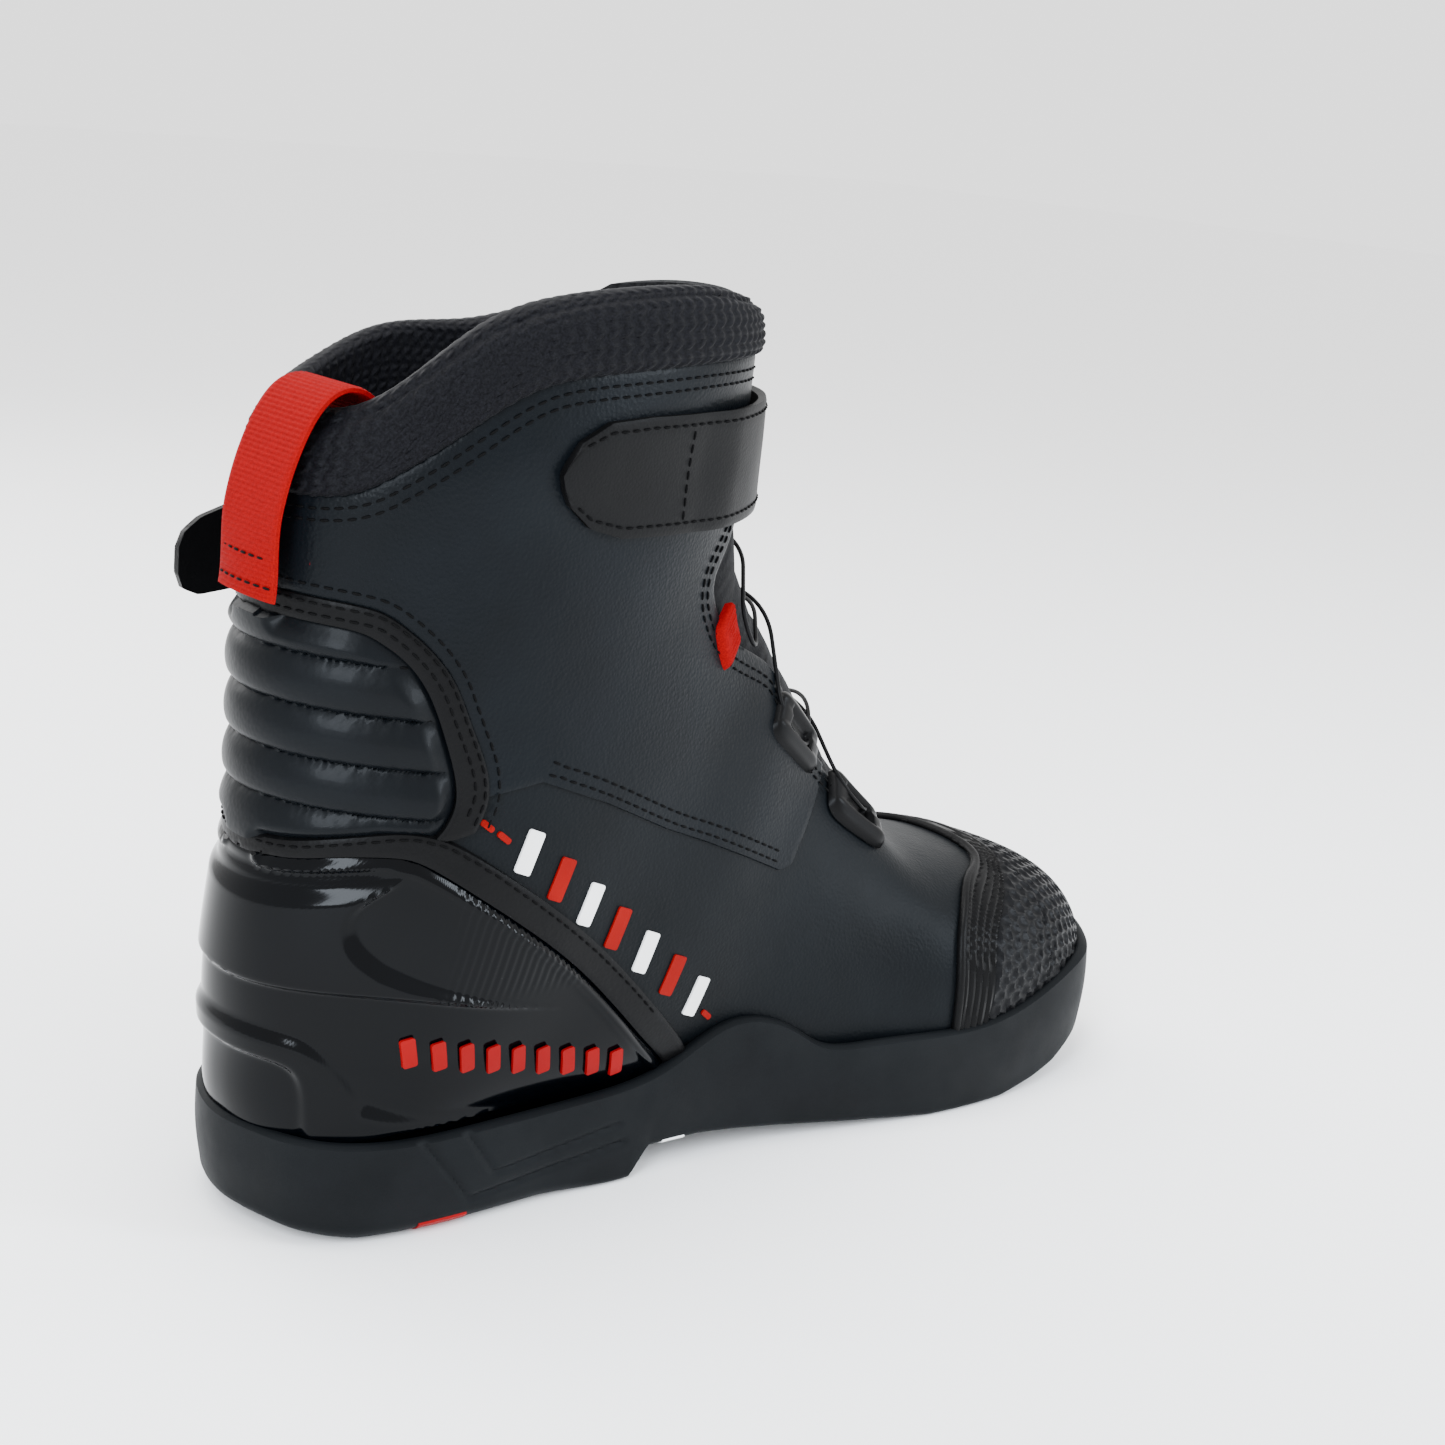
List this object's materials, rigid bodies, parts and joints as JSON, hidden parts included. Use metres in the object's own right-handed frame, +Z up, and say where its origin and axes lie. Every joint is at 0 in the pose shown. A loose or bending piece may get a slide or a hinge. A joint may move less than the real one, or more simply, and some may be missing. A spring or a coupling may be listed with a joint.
{
  "type": "motorcycle riding boot",
  "caption": "Ankle-height padded riding boot, left foot, with a moulded heel counter, ribbed rear pad, toe cap, closing strap and cable lacing.",
  "frame": {"origin": "on the ground under the middle of the foot, on the line from heel to toe", "axes": "+Z up, +Y towards the heel, -Y towards the toe, -X is the inner (medial) side of the left foot"},
  "size_m": [0.1163, 0.3048, 0.246],
  "materials": {
    "sole_rubber": "matt moulded rubber with a fine grain",
    "red_rubber": "matt red rubber",
    "white_rubber": "satin white rubber",
    "spring_steel": "bare strip",
    "fibre_board": "pressed fibre board",
    "foam_cloth": "foam faced with knit cloth",
    "lining_cloth": "fuzzy brushed mesh lining",
    "knit_mesh": "padded air mesh",
    "leather_upper": "fine pebble grain, low sheen",
    "leather_shaft": "fine pebble grain, soft sheen",
    "leather_smooth": "smooth, semi gloss, quilted",
    "leather_trim": "smooth binding, semi gloss",
    "gloss_tpu": "injection moulded, high gloss",
    "matt_tpu": "injection moulded, satin",
    "toe_mesh_tpu": "raised honeycomb, satin",
    "print_white": "thin raised print",
    "print_red": "thin raised print",
    "mark_red": "raised moulded mark",
    "webbing_red": "ribbed woven webbing",
    "strap_leather": "fine grain with a raw edge",
    "hook_tape": "hook tape",
    "loop_tape": "loop pile",
    "lace_cable": "braided, coated",
    "stiffener": "thermoformed sheet",
    "dial_plastic": "satin moulded",
    "dial_metal": "plated screw"
  },
  "bodies": {
    "boot": {"outsole": "sole_rubber", "heel_tread_insert": "red_rubber", "arch_insert": "white_rubber", "shank": "spring_steel", "insole_board": "fibre_board", "footbed": "foam_cloth", "lining": "lining_cloth", "tongue": "lining_cloth", "tongue_gusset": "lining_cloth", "heel_stiffener": "stiffener", "toe_puff": "stiffener", "ankle_pad_medial": "foam_cloth", "ankle_pad_lateral": "foam_cloth", "vamp": "leather_upper", "quarter_medial": "leather_upper", "quarter_lateral": "leather_upper", "collar_medial": "knit_mesh", "collar_lateral": "knit_mesh", "shaft_panel_medial": "leather_shaft", "shaft_panel_lateral": "leather_shaft", "rear_rib_pad": "leather_smooth", "heel_counter": "gloss_tpu", "counter_binding": "leather_trim", "toe_cap": "toe_mesh_tpu", "toe_rib_band": "matt_tpu", "side_marks_white": "print_white", "side_marks_red": "print_red", "counter_marks": "mark_red", "strap_anchor": "strap_leather", "loop_tape": "loop_tape", "pull_loop": "webbing_red", "lace": "lace_cable", "webbing_guide_medial": "webbing_red", "middle_guide_medial": "matt_tpu", "lower_guide_medial": "matt_tpu", "middle_guide_lateral": "matt_tpu", "lower_guide_lateral": "matt_tpu", "dial_housing": "dial_plastic"},
    "strap": {"strap": "strap_leather", "hook_tape": "hook_tape"},
    "dial_spool": {"dial_spool": "dial_plastic", "dial_screw": "dial_metal"},
    "dial_knob": {"dial_knob": "dial_plastic"}
  },
  "joints": [
    {"name": "strap_open", "type": "hinge", "parent": "boot", "child": "strap", "pos_m": [-0.043, 0.0372, 0.195], "axis": [0, 0, -1], "range_deg": [0, 100]},
    {"name": "dial_turn", "type": "hinge", "parent": "boot", "child": "dial_spool", "pos_m": [0.0415, 0.05, 0.138], "axis": [0.9816, -0.1908, 0], "continuous": true},
    {"name": "dial_pull", "type": "slide", "parent": "dial_spool", "child": "dial_knob", "axis": [0.9816, -0.1908, 0], "range_m": [0, 0.0025]}
  ]
}
